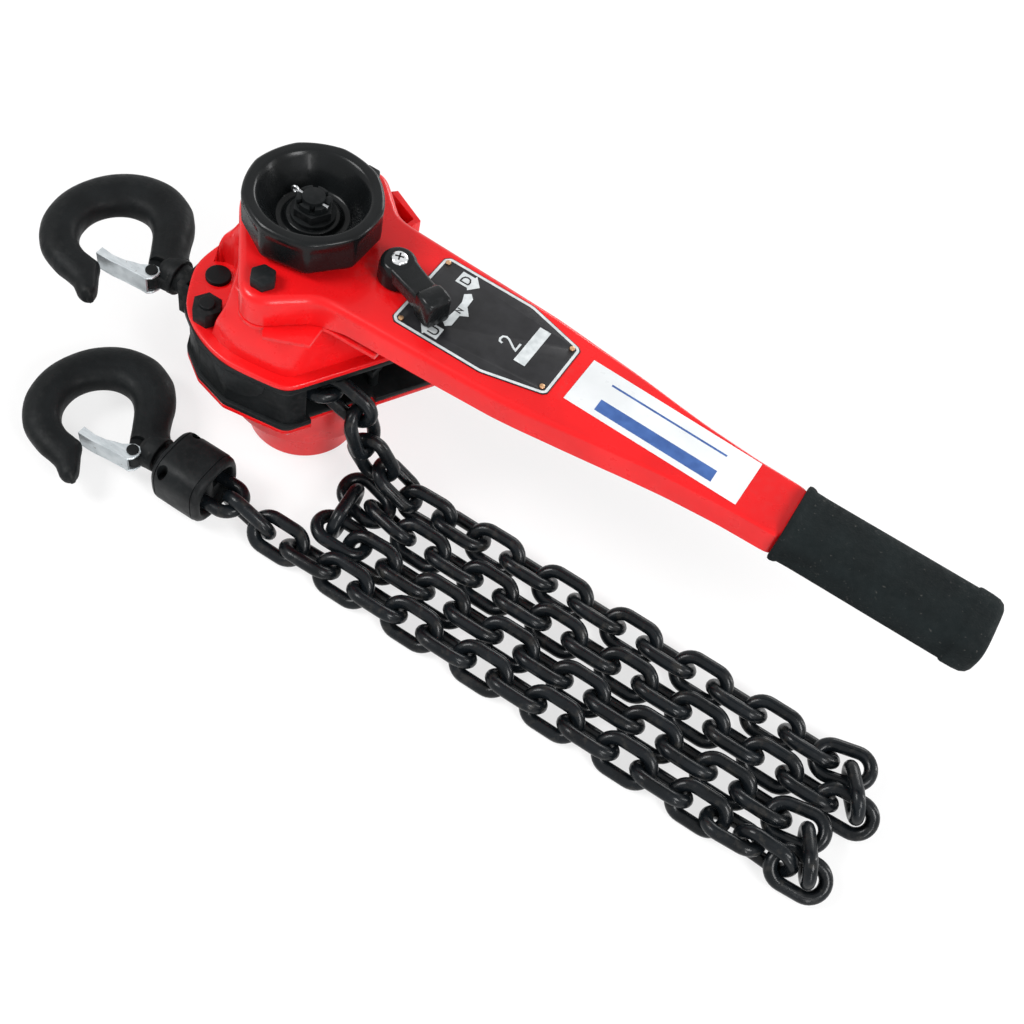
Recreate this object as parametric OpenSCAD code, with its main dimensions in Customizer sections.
// Come along winch: chain lever hoist with handwheel, two swivel hooks and its load chain.
// Frame: origin on the main shaft axis at the ground, +Z up the shaft, +X along the lever.

/* [Body] */
// Radius of the gear cup that the hoist stands on
cup_r = 34; // [33:0.5:40]
// Height of the gear cup
cup_h = 33; // [28:1:36]
// Radius of the gear pan over the disc gears
pan_r = 47; // [46.8:0.1:48]
// Wall thickness of the pressed covers
wall_t = 2.5; // [1.6:0.1:2.7]
// Thickness of both side plates
plate_t = 4; // [3:0.1:5]
// Thickness of both cover flanges
flange_t = 3; // [2:0.1:4]
// Free height between the side plates
chain_gap = 29; // [28.6:0.1:30]
// Corner radius of the body outline
body_corner_r = 9; // [3:0.5:14]
// Height of the brake cover dome above its flange
dome_h = 35; // [33:0.5:38]
// Radius of the flat boss on the brake cover
boss_r = 44; // [42:0.5:46]

/* [Lever] */
// Distance from the shaft to the grip collar
lever_reach = 288; // [270:1:310]
// Depth of the lever pressing
lever_t = 17; // [15:0.5:19]
// Radius of the two bolt lobes on the lever head
lobe_r = 12.5; // [11:0.5:14]
// Length of the rubber grip
grip_len = 110; // [100:1:120]
// Radius of the grip body
grip_r = 19.5; // [18:0.5:21]
// Reach of the change knob finger
finger_reach = 38; // [30:1:44]

/* [Handwheel] */
// Outer radius of the handwheel
wheel_r = 36.5; // [34:0.5:36.8]
// Height of the handwheel
wheel_h = 24.5; // [23:0.5:28]
// Number of finger flutes round the handwheel
wheel_flutes = 9; // [6:1:12]

/* [Shaft and brake] */
// Radius of the pinion shaft
shaft_r = 7; // [6:0.25:7.5]
// Running clearance on radius of the turning fits
run_gap = 0.06; // [0.03:0.01:0.1]
// Number of teeth on the ratchet disc
ratchet_teeth = 20; // [16:1:24]
// Number of teeth on the change gear
change_teeth = 12; // [8:1:14]

/* [Chain and hooks] */
// Wire diameter of the load chain
chain_wire = 8; // [7:0.1:8]
// Inside radius of both hook bowls
hook_in_r = 21; // [18:0.5:22]
// Thickness of the hooks at the back of the bowl
hook_t = 20; // [16:0.5:21]
// Radius of the hook shanks
shank_r = 8; // [7:0.5:8.5]

/* [Hidden] */
$fn = 96;
chain_z = 85;                 // height of the chain plane
gap_lo = chain_z - chain_gap / 2;
gap_hi = chain_z + chain_gap / 2;
gplate_z = gap_lo - plate_t;
gflange_z = gplate_z - flange_t;
bplate_top = gap_hi + plate_t;
bflange_top = bplate_top + flange_t;
dome_top = bflange_top + dome_h;
cover_z = dome_top + 1.5;     // underside of the lever's lower cover
cover_t = 2.5;
lever_z = cover_z + cover_t;
lever_top = lever_z + 3 + lever_t;
arm_z = lever_z + 3;
wheel_z = lever_top + 2;
wheel_top = wheel_z + wheel_h;
lobe_y = wheel_r + 9.5;       // the bolt heads stay clear of the handwheel
lobe_at = [[3, lobe_y], [3, -lobe_y]];
shell_t = 3;
eps = 0.02;
air = 0.3;                    // gap between neighbouring bodies

body_pts = [[-66, -17], [-51, -45.5], [-34, -57], [-12, -63], [27, -57], [76, 28],
            [66, 48], [30, 66], [-15, 64], [-55, 42], [-64, 12]];
stay_at = [[-36, -43.5], [50, 45], [-40, 38]];
pin_at = [-49.2, -17.4];
pin_r = 7.2;
stay_r = 4.5;
rivet_at = [[68.9, 25.4], [70.4, -21.4], [150, 17.6], [150, -13]];
nut_af = 15;
nut_h = 10.5;
screw_at = [[24, -50], [-5, 56], [66, 30], [-55, 8]];
anchor_at = [31.6, 27.2];

gear_a = 25;                  // centre distance of the disc gears
gear_m = 1.25;                // module of both gear pairs
pinion_n = 12;
disc_n = 28;
small_n = 10;
load_n = 30;
pocket_flat = 21.8;           // half width across the flat chain pockets
sheave_r = 22.9;              // radius of the sheave beside its groove
flat_r = 27.2;                // radius of the flat links on the sheave
edge_r = 30.55;               // radius of the edge links on the sheave
hub_r = 12;                   // radius of the sheave journals

knob_x = 53.5;
knob_r = 10.5;
knob_rest = -23;
change_r = 26.2;
ratchet_r = 37;
pawl_pin = [[44.75, 22.62], [8, 49.5]];

hook_y = -17.4;
top_shank_r = shank_r - 2;
low_y = -88;
low_z = 20;
bowl_x = -121;
low_bowl_x = -82;
house_r = 19.5;
house_x0 = -31;
house_x1 = 3;
house_screw_at = [[-23.5, low_y - 15.5], [-23.5, low_y + 15.5]];

link_l = 6.5;                 // half length of the straight sides of a link
link_w = 9.5;                 // bend radius of a link on its wire axis
link_s = 23.7;                // spacing of links along a laid row
row_z = 10.72;                // height of the laid rows
row_y = [-18, -42, -66, -88];

// colours
c_red = [0.72, 0.07, 0.06];
c_black = [0.08, 0.08, 0.09];
c_chain = [0.16, 0.16, 0.17];
c_steel = [0.62, 0.63, 0.65];
c_zinc = [0.72, 0.70, 0.62];
c_brass = [0.78, 0.58, 0.28];
c_rubber = [0.05, 0.05, 0.05];
c_white = [0.9, 0.9, 0.88];
c_lining = [0.35, 0.28, 0.22];

// ---------- outline helpers ----------
function unit(v) = v / norm(v);
function inw(p, q) = unit([p[1] - q[1], q[0] - p[0]]);
function prev_i(p, i) = p[(i + len(p) - 1) % len(p)];
function next_i(p, i) = p[(i + 1) % len(p)];
function inset_pt(a, b, c, t) =
    b + t * (inw(a, b) + inw(b, c)) / (1 + inw(a, b) * inw(b, c));
function inset(p, t) =
    [for (i = [0:len(p) - 1]) inset_pt(prev_i(p, i), p[i], next_i(p, i), t)];
function turn_at(a, b, c) = acos(min(1, unit(b - a) * unit(c - b)));
function cut_d(p, i, r) = r * tan(turn_at(prev_i(p, i), p[i], next_i(p, i)) / 2);

// convex outline with true round corners
module round_poly(p, r) {
    polygon([for (i = [0:len(p) - 1]) for (s = [0, 1])
        s == 0 ? p[i] - unit(p[i] - prev_i(p, i)) * cut_d(p, i, r)
               : p[i] + unit(next_i(p, i) - p[i]) * cut_d(p, i, r)]);
    for (i = [0:len(p) - 1])
        translate(inset_pt(prev_i(p, i), p[i], next_i(p, i), r)) circle(r = r);
}

module body_2d(t) {
    round_poly(inset(body_pts, t), max(1.2, body_corner_r - t));
}

module slab(z0, h, t) {
    translate([0, 0, z0]) linear_extrude(height = h) body_2d(t);
}

module bar(z0, z1, r) {
    translate([0, 0, z0]) cylinder(h = z1 - z0, r = r);
}

module ring(z0, z1, r1, r0) {
    difference() {
        bar(z0, z1, r1);
        bar(z0 - 1, z1 + 1, r0);
    }
}

module at_pts(pts) {
    for (p = pts) translate([p[0], p[1], 0]) children();
}

module hex_bar(z0, z1, af) {
    translate([0, 0, z0]) cylinder(h = z1 - z0, r = af / sqrt(3), $fn = 6);
}

// trapezoid gear wheel with a tooth on the angle given
module gear(n, z0, h, bore, tooth_at) {
    rp = gear_m * n / 2;
    ro = rp + gear_m;
    rr = rp - 1.3 * gear_m;
    w = 90 / n - 0.9 * 57.3 * 0.2 / rp;
    translate([0, 0, z0]) difference() {
        linear_extrude(height = h)
            polygon([for (i = [0:n - 1]) for (k = [0:3])
                let (a = tooth_at + i * 360 / n,
                     da = [-1.5 * w, -0.42 * w, 0.42 * w, 1.5 * w][k],
                     r = (k == 1 || k == 2) ? ro : rr)
                [r * cos(a + da), r * sin(a + da)]]);
        if (bore > 0) translate([0, 0, -1]) cylinder(h = h + 2, r = bore);
    }
}

// ---------- chain ----------
module half_bend() {
    rotate([0, 0, -90]) rotate_extrude(angle = 180, $fn = 40)
        translate([link_w, 0]) circle(r = chain_wire / 2, $fn = 20);
}

module link() {
    translate([link_l, 0, 0]) half_bend();
    translate([-link_l, 0, 0]) rotate([0, 0, 180]) half_bend();
    for (s = [-1, 1]) translate([-link_l, s * link_w, 0]) rotate([0, 90, 0])
        cylinder(h = 2 * link_l, r = chain_wire / 2, $fn = 20);
}

// one link at x, y, z, turned by roll, then pitch, then yaw
module put_link(q) {
    translate([q[0], q[1], q[2]]) rotate([0, q[4], q[3]]) rotate([q[5], 0, 0]) link();
}

module row(x0, n, y, first) {
    for (i = [0:n - 1])
        put_link([x0 + i * link_s, y, row_z, 0, 0, (i % 2 == 0 ? 1 : -1) * first]);
}

module chain_in_body() color(c_chain) {
    for (a = [-90, 180, 90]) rotate([0, 0, a]) translate([flat_r, 0, chain_z])
        rotate([0, 0, 90]) rotate([90, 0, 0]) link();
    for (a = [-135, 135]) rotate([0, 0, a]) translate([edge_r, 0, chain_z])
        rotate([0, 0, 90]) link();
    put_link([23.7, 27.2, chain_z, 0, 0, 0]);
}

// route of the chain: x, y, z, yaw, pitch, roll of each link
drop_at = [[23.9, -27.5, 85.1, -2.3, 1.9, -3.9], [47, -26.7, 81.3, 4, 24.2, 85.1],
    [58.5, -26.1, 62.3, 4.9, 71.2, -0.4], [67.6, -25.2, 40.4, 9.3, 58.6, 85.1],
    [84.5, -22.4, 24.5, 5.5, 34.7, -15.1], [105.4, -20.9, 14.4, 7.3, 9.3, 69.4],
    [128.95, -18.4, 11.6, 1, 2.6, -29], [152.7, -18.1, 11.3, 0.6, 0.5, 49.8],
    [176.6, -17.9, 10.7, 0.5, 0.7, -41.9]];
row_a_x = 200.4;
row_a_n = 8;
fold_ab = [[387.4, -17.8, 12.8, 9.3, -10.5, 13.1], [398.8, -31.2, 15.8, -65.3, -21.4, 103.1],
    [399.9, -41.8, 11.2, 1.5, -2.5, 41.9]];
row_b_x = 115.4;
row_b_n = 12;
fold_bc = [[92.4, -40.3, 11.9, -12.2, -1.2, -53.7], [72.6, -36.6, 12.9, -12.3, 4.5, 5.5],
    [67.2, -51, 13.9, 96.8, 2.5, 93.9], [75.2, -65.3, 13.6, 5.7, 10.7, -11.5],
    [97.1, -66.1, 11.4, 0.9, -2.1, 50.8]];
row_c_x = 120.7;
row_c_n = 11;
fold_cd = [[379.5, -66.2, 13.4, 3.8, -14.4, 22.6], [391.5, -79.3, 15.7, -69.3, -21, 101.9],
    [392.2, -89.7, 11.6, 5.4, 5.3, 27.5], [371.2, -89.5, 13.6, -3, 0, -94],
    [351.2, -89, 11.6, 0.5, -5.2, -30.9]];
row_d_x = 92.4;
row_d_n = 11;

module chain_drop() color(c_chain)
    for (q = drop_at) put_link(q);

module chain_row_a() color(c_chain) row(row_a_x, row_a_n, row_y[0], 45);
module chain_row_b() color(c_chain) row(row_b_x, row_b_n, row_y[1], 45);
module chain_row_c() color(c_chain) row(row_c_x, row_c_n, row_y[2], -45);
module chain_row_d() color(c_chain) {
    row(row_d_x, row_d_n, row_y[3], 45);
    for (q = chain_climb) put_link(q);
    put_link(chain_ear);
}

module chain_folds() color(c_chain)
    for (q = concat(fold_ab, fold_bc, fold_cd)) put_link(q);

// ---------- frame ----------
// cut back of the gear side where the chain leaves over the edge
module mouth_notch(z0, z1) translate([44.9, -25.9, z0]) rotate([0, 0, -30])
    translate([-4.2, -20, 0]) cube([30, 40, z1 - z0]);

module side_plate_gear() color(c_black) difference() {
    slab(gplate_z, plate_t, 0);
    mouth_notch(gplate_z - 1, gap_lo + 1);
    bar(gplate_z - 1, gap_lo + 1, hub_r + 3);
    at_pts([[0, gear_a], [0, -gear_a]]) bar(gplate_z - 1, gap_lo + 1, 4 + run_gap);
    at_pts(stay_at) bar(gplate_z - 1, gap_lo + 1, stay_r + eps);
    at_pts([pin_at]) bar(gplate_z - 1, gap_lo + 1, pin_r + eps);
    at_pts([anchor_at]) bar(gplate_z - 1, gap_lo + 1, 4.02);
}

module side_plate_brake() color(c_black) difference() {
    slab(gap_hi, plate_t, 0);
    bar(gap_hi - 1, bplate_top + 1, hub_r + 3);
    at_pts(stay_at) bar(gap_hi - 1, bplate_top + 1, stay_r + eps);
    at_pts([pin_at]) bar(gap_hi - 1, bplate_top + 1, pin_r + eps);
    at_pts([anchor_at]) bar(gap_hi - 1, bplate_top + 1, 4.02);
    at_pts(pawl_pin) bar(gap_hi - 1, bplate_top + 1, 3.02);
}

module frame_wall() color(c_black) {
    difference() {
        slab(gap_lo, chain_gap, 2);
        slab(gap_lo - 1, chain_gap + 2, 6);
        translate([0, 0, gap_lo - 1]) linear_extrude(height = chain_gap + 2) {
            polygon([[-40, -20], [-57, -70], [-120, -70], [-120, 60], [-70, 60], [-40, 20]]);
            polygon([[21.5, -38.8], [45.5, -52.6], [110, -40], [110, 60], [45, 50]]);
        }
        at_pts(stay_at) bar(gap_lo - 1, gap_hi + 1, stay_r + 1.52);
    }
    intersection() {
        translate([-4, -55, 100]) rotate([90, 0, 0]) cylinder(h = 14, r = 17.5);
        difference() {
            slab(gap_lo + 0.5, chain_gap - 1, 0.5);
            slab(gap_lo - 1, chain_gap + 2, 5);
        }
    }
}

module gear_cover() color(c_red) difference() {
    union() {
        rotate_extrude() polygon([[0, 0], [cup_r - 2, 0], [cup_r, 2], [cup_r, cup_h - 1],
            [cup_r + 1, cup_h], [pan_r - 2.5, cup_h], [pan_r, cup_h + 2.5],
            [pan_r, gflange_z + 1], [0, gflange_z + 1]]);
        slab(gflange_z, flange_t, 0);
    }
    difference() {
        rotate_extrude() polygon([[0, wall_t + 0.5], [cup_r - wall_t - 1, wall_t + 0.5],
            [cup_r - wall_t, wall_t + 1.5], [cup_r - wall_t, cup_h + wall_t - 0.5],
            [pan_r - wall_t - 2, cup_h + wall_t - 0.5], [pan_r - wall_t, cup_h + wall_t + 1.5],
            [pan_r - wall_t, gplate_z + 1], [0, gplate_z + 1]]);
        at_pts([[0, gear_a], [0, -gear_a]]) bar(0, cup_h + 1.2, 7);
        bar(0, 14, 11);
    }
    at_pts([[0, gear_a], [0, -gear_a]]) bar(18, 60, 4.5 + run_gap);
    bar(4, 20, 8.02);
    mouth_notch(gflange_z - 1, gplate_z + 1);
    at_pts(stay_at) bar(gflange_z - 1, gplate_z + 1, stay_r + eps);
    at_pts(screw_at) bar(gflange_z - 1, gplate_z + 1, 2.52);
}

module gear_cover_screws() color(c_steel) at_pts(screw_at) {
    hex_bar(gflange_z - 3.5, gflange_z, 8);
    bar(gflange_z - 0.5, gplate_z, 2.5);
}

module shaft_bearing() color(c_brass) ring(4, 14, 8, 5.5 + run_gap);

module sheave_bushes() color(c_brass) {
    ring(gplate_z, gap_lo, hub_r + 3, hub_r + run_gap);
    ring(gap_hi, bplate_top, hub_r + 3, hub_r + run_gap);
}

module dome_round(d) rotate_extrude() polygon([[0, 0], [110, 0], [110, dome_top - 22 - d],
    [72, dome_top - 18.5 - d], [56, dome_top - 15.5 - d], [50, dome_top - 9 - d],
    [boss_r + 2, dome_top - 1.5 - d], [boss_r, dome_top - d], [0, dome_top - d]]);

// inside outline of the brake cover, clear of the stay pockets and the pin
dome_hollow = [[-37, -11], [-37, -24.5], [-18, -38], [-20, -50.5], [-12, -52.5], [21.5, -47.5],
    [61.5, 21.5], [62.5, 27], [56, 30], [44.5, 29.8], [34.5, 38], [33, 50], [27, 56], [-13, 54.3],
    [-23.5, 47.8], [-24.5, 31.5], [-35, 21.5], [-50, 22.5], [-54, 11], [-54.5, -2]];

module brake_cover() color(c_red) difference() {
    union() {
        slab(bplate_top, flange_t, 0);
        difference() {
            intersection() {
                translate([0, 0, bplate_top + 1]) linear_extrude(height = dome_h + 4)
                    polygon(inset(body_pts, 7));
                dome_round(0);
            }
            at_pts(stay_at) bar(bflange_top, dome_top + 1, 12.4);
            at_pts([pin_at]) bar(bflange_top, dome_top + 1, pin_r + 2.1);
        }
    }
    intersection() {
        translate([0, 0, bplate_top - 1]) linear_extrude(height = dome_h + 2)
            polygon(dome_hollow);
        dome_round(wall_t);
    }
    bar(dome_top - 10, dome_top + 1, 21);
    at_pts(stay_at) bar(bplate_top - 1, bflange_top + 1, stay_r + eps);
    at_pts([pin_at]) bar(bplate_top - 1, bflange_top + 1, pin_r + eps);
}

module stay_bolts() color(c_black) at_pts(stay_at) {
    hex_bar(gflange_z - 6, gflange_z, 14);
    bar(gflange_z - 1, bflange_top + nut_h + 2, stay_r);
}

module stay_nuts() color(c_black) at_pts(stay_at) difference() {
    hex_bar(bflange_top, bflange_top + nut_h, nut_af);
    bar(bflange_top - 1, bflange_top + nut_h + 1, stay_r + eps);
}

module top_pin() color(c_black) at_pts([pin_at]) {
    bar(gplate_z, bflange_top + 2.5, pin_r);
}

module chain_anchor_pin() color(c_steel) at_pts([anchor_at]) bar(gplate_z, bplate_top, 4);

module chain_guide() color(c_black) translate([0, 0, gap_lo])
    linear_extrude(height = chain_gap) intersection() {
        difference() {
            circle(r = 50);
            circle(r = 46);
        }
        polygon([[0, 0], [-35, 75], [25, 75]]);
    }

module chain_stripper() color(c_steel) {
    translate([0, 0, chain_z - 2.5]) linear_extrude(height = 5) intersection() {
        difference() {
            circle(r = 50);
            circle(r = 17.2);
        }
        polygon([[0, 0], [70, -8.5], [70, 8.5]]);
    }
    at_pts([[46.5, 0]]) bar(gap_lo, gap_hi, 3);
}

module pawl_pins() color(c_steel) at_pts(pawl_pin)
    bar(gap_hi, bflange_top + 16, 3);

// ---------- main shaft ----------
z_hub = bflange_top + 1;

module pinion_shaft() color(c_steel) difference() {
    union() {
        bar(4.5, 37, 5.5);
        gear(pinion_n, 37, 10.5, 0, 0);
        bar(47, lever_top + 0.5, shaft_r);
        bar(lever_top, wheel_top - 3, 6);
    }
    translate([-9, 0, wheel_z + 18.4]) rotate([0, 90, 0]) cylinder(h = 18, r = 1.22, $fn = 24);
}

module friction_hub() color(c_steel) ring(bplate_top + 0.6, z_hub + 3, 28, shaft_r);
module friction_discs() color(c_lining) {
    ring(z_hub + 3, z_hub + 6, 28, 16);
    ring(z_hub + 12, z_hub + 15, 28, 16);
}

module ratchet_disc() color(c_steel) translate([0, 0, z_hub + 6]) difference() {
    linear_extrude(height = 6) polygon([for (i = [0:ratchet_teeth - 1]) for (k = [0, 1, 2])
        let (a = (i + [0, 0.12, 0.95][k]) * 360 / ratchet_teeth, r = [32, ratchet_r, 32.5][k])
        [r * cos(a), r * sin(a)]]);
    translate([0, 0, -1]) cylinder(h = 8, r = 15);
}

module change_gear() color(c_steel) difference() {
    union() {
        bar(z_hub + 15, z_hub + 19, 28);
        bar(z_hub + 6, z_hub + 16, 15 - eps);
        bar(z_hub + 18, lever_z + 1, 20);
        translate([0, 0, lever_z + 1]) linear_extrude(height = lever_top - lever_z - 5)
            polygon([for (i = [0:change_teeth - 1]) for (k = [0:3])
                let (a = (i + [-0.32, -0.2, 0.2, 0.32][k]) * 360 / change_teeth,
                     r = (k == 1 || k == 2) ? change_r : 21.5)
                [r * cos(a), r * sin(a)]]);
        bar(lever_top - 6, wheel_z, 14);
    }
    bar(0, 300, shaft_r + eps);
}

module handwheel() color(c_black) difference() {
    rotate_extrude() polygon([[shaft_r, wheel_z], [wheel_r - 2, wheel_z], [wheel_r, wheel_z + 2],
        [wheel_r, wheel_top - 1.5], [wheel_r - 1.5, wheel_top], [wheel_r - 6, wheel_top],
        [wheel_r - 7.5, wheel_top - 2], [19, wheel_z + 6], [15, wheel_z + 6],
        [15, wheel_z + 9], [shaft_r, wheel_z + 9]]);
    for (i = [0:wheel_flutes - 1]) rotate([0, 0, (i + 0.5) * 360 / wheel_flutes])
        translate([wheel_r + 8.2, 0, wheel_z - 1]) cylinder(h = wheel_h - 4, r = 10);
}

module wheel_washer() color(c_black) ring(wheel_z + 9, wheel_z + 11, 12, 6);

module castle_nut() color(c_black) difference() {
    union() {
        hex_bar(wheel_z + 11, wheel_z + 16, 19);
        bar(wheel_z + 15, wheel_z + 20, 8.8);
    }
    bar(0, 300, 6);
    for (i = [0:2]) rotate([0, 0, 60 * i]) translate([-12, -1.4, wheel_z + 17])
        cube([24, 2.8, 4]);
}

module split_pin() color(c_brass) translate([0, 0, wheel_z + 18.4]) {
    rotate([0, 90, 0]) translate([0, 0, -10.5]) cylinder(h = 19.5, r = 1.2, $fn = 24);
    translate([-11.3, 0, 0]) rotate([90, 0, 0]) rotate_extrude($fn = 32)
        translate([1.8, 0]) circle(r = 0.8, $fn = 16);
}

// ---------- gear train ----------
module disc_gear(y) translate([0, y, 0]) {
    side = y > 0 ? -90 : 90;
    bar(20, 38, 4.5);
    gear(disc_n, 37.5, 9, 0, side + 180 / disc_n);
    gear(small_n, 46, 14, 0, side);
    bar(59.5, gap_lo - 0.3, 4);
}

module disc_gear_far() color(c_steel) disc_gear(gear_a);
module disc_gear_near() color(c_steel) disc_gear(-gear_a);

module load_gear() color(c_steel) gear(load_n, 50, 10, hub_r, 0);

module load_sheave() color(c_steel) difference() {
    union() {
        bar(50, bplate_top + 0.2, hub_r);
        intersection() {
            translate([-pocket_flat, -pocket_flat, gap_lo + air])
                cube([2 * pocket_flat, 2 * pocket_flat, chain_gap - 2 * air]);
            bar(0, 200, sheave_r);
        }
    }
    difference() {
        bar(chain_z - 4.7, chain_z + 4.7, 40);
        bar(0, 200, 16.6);
    }
    bar(0, 300, shaft_r + run_gap);
}

// ---------- lever ----------
arm_pts = [[11, lobe_y + 9.5], [18, lobe_y + 1], [24, 41], [30, 38], [38, 36.6], [55, 36], [100, 34.5],
           [135, 33], [150, 31.4], [160, 30], [178, 27.6], [195, 25.2], [212, 22.7],
           [230, 20.4], [260, 18.1]];

module head_2d(t) {
    for (s = [-1, 1]) translate([3, s * lobe_y]) circle(r = lobe_r - t);
    translate([-31, 0]) circle(r = 13 - t);
    polygon([[-41.5 + t * 0.8, -7.7 + t * 0.3],
        [-7.05 + t * 0.8, -lobe_y - 7.4 + t * 0.6], [3, -lobe_y],
        [11 - t, -lobe_y - 9.5 + t], [30 - t * 0.3, -38 + t], [30, 0], [30 - t * 0.3, 38 - t],
        [11 - t, lobe_y + 9.5 - t], [3, lobe_y], [-7.05 + t * 0.8, lobe_y + 7.4 - t * 0.6],
        [-41.5 + t * 0.8, 7.7 - t * 0.3]]);
}

module arm_2d(t, x1) {
    n = len(arm_pts) - 1;
    polygon(concat([for (p = arm_pts) [p[0] - (p[0] < 30 ? t : 0), p[1] - t]],
        [[x1, 17.5 - t], [x1, t - 17.5]],
        [for (i = [n:-1:0]) [arm_pts[i][0] - (arm_pts[i][0] < 30 ? t : 0), t - arm_pts[i][1]]]));
}

module lever() color(c_red) difference() {
    union() {
        translate([0, 0, lever_z]) linear_extrude(height = lever_top - lever_z) head_2d(0);
        translate([0, 0, arm_z]) linear_extrude(height = lever_t) arm_2d(0, lever_reach + 2);
        translate([lever_reach - 20, -12, arm_z + 3])
            cube([grip_len + 8, 24, lever_t - 6]);
    }
    difference() {
        translate([0, 0, lever_z - 1]) linear_extrude(height = lever_top - lever_z + 1 - shell_t) {
            head_2d(shell_t);
            arm_2d(shell_t, lever_reach - 20);
        }
        at_pts(lobe_at) bar(lever_z - 1, lever_top, 8);
        translate([66, -40, lever_z - 2]) cube([4, 80, 60]);
        translate([96, -40, lever_z - 2]) cube([3, 80, 60]);
        translate([150, -40, lever_z - 2]) cube([3, 80, 60]);
    }
    bar(lever_top - 8, lever_top + 1, 14 + run_gap);
    at_pts([[knob_x, 0]]) bar(lever_top - 8, lever_top + 1, 5 + run_gap);
    at_pts(lobe_at) bar(lever_z - 1, lever_top + 1, 4.02);
    at_pts(rivet_at) bar(lever_top - 8, lever_top + 1, 1.52);
    translate([66, 0, arm_z + 6]) rotate([0, 90, 0]) cylinder(h = 40, r = 4.6, center = true);
}

module lever_cover() color(c_red) difference() {
    union() {
        translate([0, 0, cover_z]) linear_extrude(height = cover_t) {
            head_2d(0);
            intersection() {
                arm_2d(0, 100);
                translate([10, -60]) square([56, 120]);
            }
        }
        translate([0, 0, cover_z]) linear_extrude(height = 12)
            polygon([[11.5, lobe_y + 12], [14, lobe_y + 15], [36, 50.5], [34, 41], [31, 41.5],
                [32.5, 49]]);
        for (s = [-1, 1]) translate([0, 0, cover_z]) linear_extrude(height = cover_t)
            polygon([[10, s * (lobe_y + 4)], [11.5, s * (lobe_y + 12)],
                [14, s * (lobe_y + 15)], [36, s * 50.5], [34, s * 34], [24, s * 38]]);
    }
    bar(cover_z - 1, lever_z + 1, 20 + run_gap);
    at_pts(lobe_at) bar(cover_z - 1, lever_z + 1, 4.02);
}

module lever_bolts() color(c_black) at_pts(lobe_at) {
    hex_bar(lever_top, lever_top + 6.5, 12.6);
    bar(cover_z, lever_top + 1, 4);
}

module name_plate() color(c_black) difference() {
    translate([0, 0, lever_top]) linear_extrude(height = 0.6)
        polygon([[66, -22.6], [68.6, -25.2], [120, -25.2], [152.5, -16.9], [154.3, -14.9],
            [154.3, 18.9], [152.5, 20.8], [120, 29.4], [68.3, 29.4], [65.6, 26.8]]);
    at_pts(rivet_at)
        bar(lever_top - 1, lever_top + 2, 1.52);
}

module name_plate_rivets() color(c_brass)
    at_pts(rivet_at) intersection() {
        bar(lever_top - 2.8, lever_top + 2, 1.5);
        translate([0, 0, lever_top - 3]) sphere(r = 5);
    }

module label_sticker() color(c_white) translate([0, 0, lever_top])
    linear_extrude(height = 0.3)
        polygon([[162, -11.7], [262.2, -14.2], [262.8, 16], [162.6, 19]]);

module grip() color(c_rubber) difference() {
    union() {
        translate([lever_reach, 0, arm_z + lever_t / 2]) rotate([0, 90, 0]) {
            cylinder(h = 4, r = grip_r + 2);
            cylinder(h = grip_len - 3, r = grip_r - 5);
            translate([0, 0, grip_len - 7]) cylinder(h = 7, r = grip_r - 4);
        }
        intersection() {
            translate([lever_reach + 2, 0, arm_z + lever_t / 2]) rotate([0, 90, 0])
                cylinder(h = grip_len - 2, r = grip_r);
            translate([lever_reach, -40, arm_z + lever_t / 2 - 13])
                cube([grip_len + 1, 80, 26]);
        }
    }
    translate([lever_reach - 1, -12 - eps, arm_z + 3 - eps])
        cube([grip_len - 11 + eps, 24 + 2 * eps, lever_t - 6 + 2 * eps]);
    translate([lever_reach - 1, -18, arm_z - 1]) cube([3, 36, lever_t + 2]);
}

module detent_plunger() color(c_steel) {
    translate([66.6, 0, arm_z + 6]) rotate([0, 90, 0]) cylinder(h = 14, r = 4.5);
    translate([66.6, 0, arm_z + 6]) sphere(r = 4);
}

module detent_spring() color(c_steel)
    for (i = [0:13]) translate([81.2 + i * 1.08, 0, arm_z + 6]) rotate([0, 90, 0])
        rotate_extrude($fn = 32) translate([3.4, 0]) circle(r = 0.56, $fn = 12);

// ---------- knob ----------
module change_knob() color(c_black) translate([knob_x, 0, 0]) {
    bar(arm_z + 2, lever_top + 2, 5);
    bar(lever_top + air, lever_top + 14, knob_r);
    bar(lever_top + 13, lever_top + 15, knob_r - 1.5);
    rotate([0, 0, knob_rest]) {
        translate([0, -6, lever_top + 8]) cube([finger_reach - 2, 12, 7]);
        translate([finger_reach - 12, -7.5, lever_top + 2]) cube([12, 15, 18]);
    }
}

module knob_screw() color(c_steel) translate([knob_x, 0, 0]) difference() {
    bar(lever_top + 15, lever_top + 16.5, 4);
    rotate([0, 0, 30]) translate([-5, -0.5, lever_top + 15.8]) cube([10, 1, 2]);
}

module change_pawl() color(c_steel) translate([knob_x, 0, arm_z + 1]) difference() {
    linear_extrude(height = 9) {
        circle(r = 8.7);
        rotate([0, 0, 180 + knob_rest]) difference() {
            intersection() {
                circle(r = 26.7);
                polygon([[0, -7], [0, 7], [22, 20], [40, 14], [24, 0], [40, -14], [22, -20]]);
            }
            translate([26, 0]) circle(r = 9);
        }
    }
    translate([0, 0, -1]) cylinder(h = 11, r = 5);
}

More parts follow.
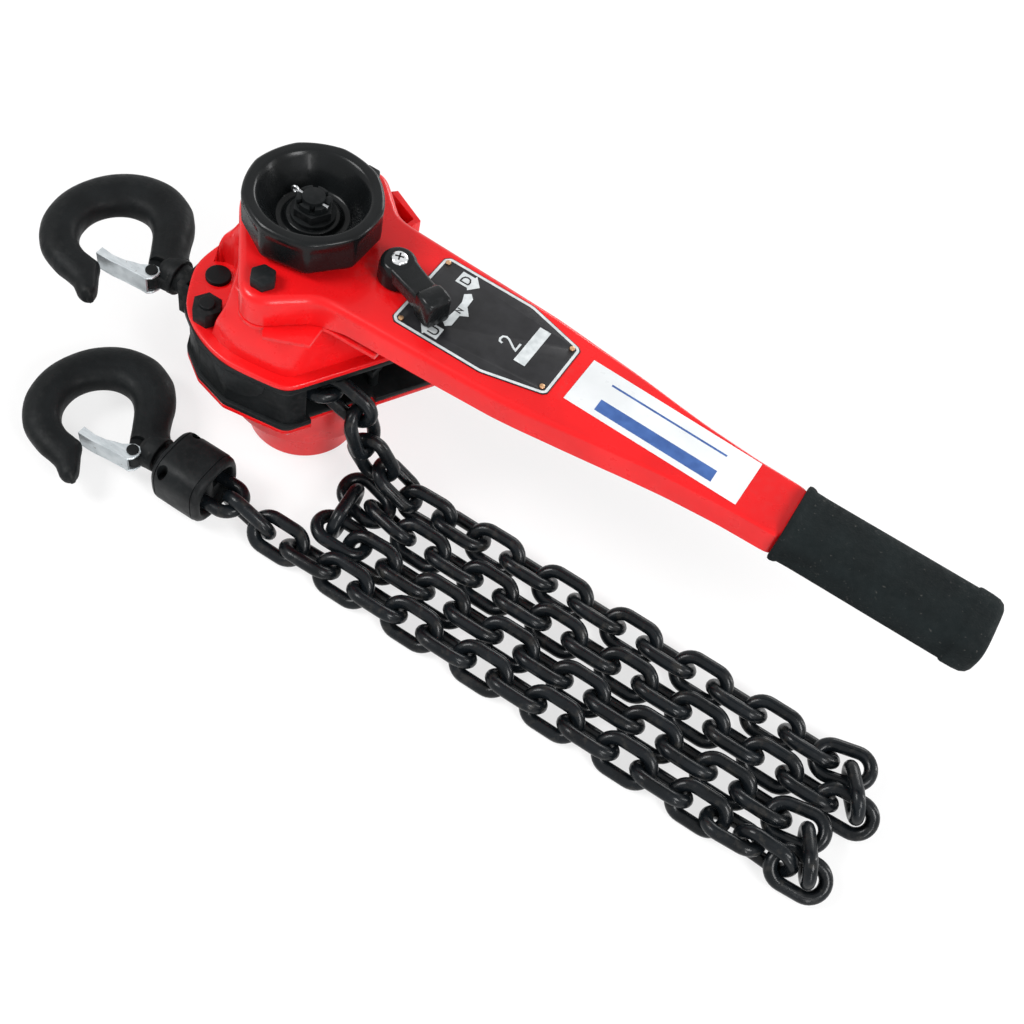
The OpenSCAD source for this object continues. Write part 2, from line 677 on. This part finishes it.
// ---------- hooks ----------
hook_outer = [[42, 11.5], [36.4, 16.4], [31.8, 26.6], [26.6, 34.8], [20.8, 41.4], [11.8, 47.8],
              [0.2, 51.2], [-12.5, 50.3], [-24.5, 45.6], [-33.8, 37.8], [-41, 28], [-45.6, 15],
              [-47, 0.4], [-44.4, -13.6], [-37.4, -25.6], [-29.6, -32.8], [-20.6, -37.6],
              [-12, -39.6], [-5.6, -40.2], [1.4, -41.6], [7.6, -45.4], [11.6, -46.2],
              [15, -44.6], [16.6, -41], [15.4, -36.4], [8, -27.2], [4, -19], [-4, 0], [12, 8],
              [17.8, 5], [22.4, -1.6], [27.6, -8.6], [33, -11.4], [42, -10.5]];
latch_at = [31.8, -9.9];
latch_side = [[-0.4, -13.8], [8, -14.4], [15, -13.2], [20, -11.2], [24, -10], [28, -7.1],
              [30, -5.6], [33.5, -5.4], [36, -7.2], [36.6, -10.5], [35.5, -14.5], [33, -17],
              [28.5, -17], [18, -17.9], [10, -18.9], [6, -19.1], [-0.4, -19.2]];
latch_web = [[-0.4, -19.2], [-0.4, -17.8], [6, -17.7], [10, -17.5], [18, -16.5], [28.5, -15.6],
             [33, -15.6], [33, -17], [28.5, -17], [18, -17.9], [10, -18.9], [6, -19.1]];

// hook lying in its plane, bowl centre at the origin, shank toward +X
module hook_bowl() {
    difference() {
        union() {
            translate([0, 0, -hook_t / 2]) linear_extrude(height = hook_t) intersection() {
                polygon(hook_outer);
                translate([-60, -24]) square([110, 90]);
            }
            translate([0, 0, 2 - hook_t / 2]) linear_extrude(height = hook_t - 4) intersection() {
                polygon(hook_outer);
                translate([-60, -34]) square([110, 90]);
            }
            translate([0, 0, 3.2 - hook_t / 2]) linear_extrude(height = hook_t - 6.4)
                polygon(hook_outer);
            translate([36, 0.5, 0]) rotate([0, 90, 0]) cylinder(h = 8.5, r1 = 10, r2 = 11);
            translate([latch_at[0], latch_at[1], -4.9]) cylinder(h = 9.8, r = 5);
        }
        for (s = [-1, 1]) translate([latch_at[0], latch_at[1], s * 17.4 - 12.5])
            cylinder(h = 25, r = 9.2);
        translate([-2, 0.5, -30]) cylinder(h = 60, r = hook_in_r);
        translate([latch_at[0], latch_at[1], -30]) cylinder(h = 60, r = 2.2 + eps);
    }
}

module shank(x0, x1, nut0, nut1, nut_r) rotate([0, 90, 0]) {
    translate([0, 0, x0]) cylinder(h = x1 - x0, r = shank_r);
    translate([0, 0, nut0]) cylinder(h = nut1 - nut0, r = nut_r);
}

module top_hook() color(c_black) {
    translate([bowl_x, hook_y, chain_z]) hook_bowl();
    translate([0, hook_y, chain_z]) rotate([0, 90, 0]) {
        translate([0, 0, -78]) cylinder(h = 8, r = shank_r + 0.5);
        translate([0, 0, -78]) cylinder(h = 19.2, r = top_shank_r);
    }
}

module top_hook_nut() color(c_steel) translate([0, hook_y, chain_z]) rotate([0, 90, 0])
    difference() {
        translate([0, 0, -64.6]) cylinder(h = 5.2, r = 8.6, $fn = 6);
        translate([0, 0, -66]) cylinder(h = 9, r = top_shank_r);
    }

module top_yoke() color(c_black) difference() {
    union() {
        translate([-69.5, hook_y - 11.5, chain_z - 12]) cube([13.5, 23, 24]);
        at_pts([pin_at]) {
            bar(chain_z - 12, chain_z - 5, 13);
            bar(chain_z - 6, chain_z + 6, pin_r + 2.3);
            bar(chain_z + 5, chain_z + 12, 13);
        }
    }
    at_pts([pin_at]) bar(0, 200, pin_r + run_gap);
    translate([-64.9, hook_y - 9.2, 0]) cube([6.3, 18.4, 200]);
    translate([-90, hook_y, chain_z]) rotate([0, 90, 0])
        cylinder(h = 27, r = top_shank_r + run_gap);
}

module bottom_hook() color(c_black) {
    translate([low_bowl_x, low_y, low_z]) hook_bowl();
    translate([0, low_y, low_z]) rotate([0, 90, 0]) translate([0, 0, -39])
        cylinder(h = 19, r = shank_r);
}

module bottom_hook_nut() color(c_steel) translate([0, low_y, low_z]) rotate([0, 90, 0])
    difference() {
        translate([0, 0, -27]) cylinder(h = 7, r = 12);
        translate([0, 0, -28]) cylinder(h = 9, r = shank_r);
    }

module housing() difference() {
    translate([house_x0, low_y, low_z]) rotate([0, 90, 0]) rotate_extrude()
        polygon([[0, 0], [house_r - 3, 0], [house_r - 0.5, 2.5], [house_r - 0.5, 9],
            [house_r - 1.5, 10], [house_r - 0.5, 11], [house_r, 16], [house_r - 1, 17],
            [house_r, 18], [house_r, 32], [house_r - 2, 34], [0, 34]]);
    translate([-60, low_y, low_z]) rotate([0, 90, 0]) cylinder(h = 35, r = shank_r + run_gap);
    translate([-27.3, low_y, low_z]) rotate([0, 90, 0]) cylinder(h = 7.6, r = 12.3);
    ear_slot();
    translate([-5, low_y, low_z - 12 - eps]) cylinder(h = 24 + 2 * eps, r = 3.6 + eps);
}

chain_ear = [3, low_y, low_z, 0, 0, 0];
chain_climb = [[69, -88, 10.8, 0.7, -1.8, -42.8], [46.5, -88, 11.5, 2.4, 4.8, 41.5],
    [25.3, -87.9, 16.2, 2, 27.4, -71.7]];

module ear_slot() translate([-20, low_y - 14.2, low_z - 4.4]) cube([40, 28.4, 8.8]);

module chain_end_pin() color(c_steel) translate([-5, low_y, low_z - 12])
    cylinder(h = 24, r = 3.6);

module hook_housing_lower() color(c_black) difference() {
    intersection() {
        housing();
        translate([-80, low_y - 50, low_z - 50]) cube([160, 100, 50 - eps]);
    }
    at_pts(house_screw_at) bar(low_z - 6.1, low_z + 1, 1.52);
}

module hook_housing_upper() color(c_black) difference() {
    intersection() {
        housing();
        translate([-80, low_y - 50, low_z + eps]) cube([160, 100, 50]);
    }
    for (p = house_screw_at) translate([p[0], p[1], low_z + 6]) cylinder(h = 20, r = 2.9);
    at_pts(house_screw_at) bar(low_z - 1, low_z + 7, 1.52);
}

module housing_screws() color(c_steel) at_pts(house_screw_at) {
    bar(low_z + 6, low_z + 9, 2.8);
    bar(low_z - 6, low_z + 6.5, 1.5);
}

module latch(px, py, pz) translate([px, py, pz]) {
    for (s = [-1, 1]) translate([0, 0, s * 5.9 - 0.7]) linear_extrude(height = 1.4)
        polygon(latch_side);
    translate([0, 0, -6.6]) linear_extrude(height = 13.2) polygon(latch_web);
    translate([latch_at[0], latch_at[1], -8.2]) cylinder(h = 16.4, r = 2.2);
}

module top_latch() color(c_zinc) latch(bowl_x, hook_y, chain_z);
module bottom_latch() color(c_zinc) latch(low_bowl_x, low_y, low_z);

// ---------- brake pawls ----------
module brake_pawl(turn) rotate([0, 0, turn]) difference() {
    translate([0, 0, z_hub + 6.5]) linear_extrude(height = 5) {
        translate([8, 49.5]) circle(r = 5.2);
        polygon([[4, 54], [-11.6, 43.4], [-13.5, 38.5], [-10, 37.9], [2, 43.6], [12, 46]]);
    }
    at_pts([[8, 49.5]]) bar(0, 200, 3 + run_gap);
    bar(0, 200, ratchet_r + air);
}

module brake_pawl_far() color(c_steel) brake_pawl(0);
module brake_pawl_side() color(c_steel) brake_pawl(-54);

gear_cover();
gear_cover_screws();
side_plate_gear();
side_plate_brake();
frame_wall();
brake_cover();
stay_bolts();
stay_nuts();
top_pin();
chain_anchor_pin();
chain_guide();
chain_stripper();
pawl_pins();
shaft_bearing();
sheave_bushes();
chain_in_body();
chain_drop();
chain_row_a();
chain_folds();
chain_row_b();
chain_row_c();
chain_row_d();
hook_housing_lower();
hook_housing_upper();
housing_screws();
chain_end_pin();
pinion_shaft();
friction_hub();
friction_discs();
ratchet_disc();
change_gear();
handwheel();
wheel_washer();
castle_nut();
split_pin();
disc_gear_far();
disc_gear_near();
load_gear();
load_sheave();
lever();
lever_cover();
lever_bolts();
name_plate();
name_plate_rivets();
label_sticker();
grip();
detent_plunger();
detent_spring();
change_knob();
knob_screw();
change_pawl();
top_yoke();
top_hook();
top_hook_nut();
top_latch();
bottom_hook();
bottom_hook_nut();
bottom_latch();
brake_pawl_far();
brake_pawl_side();
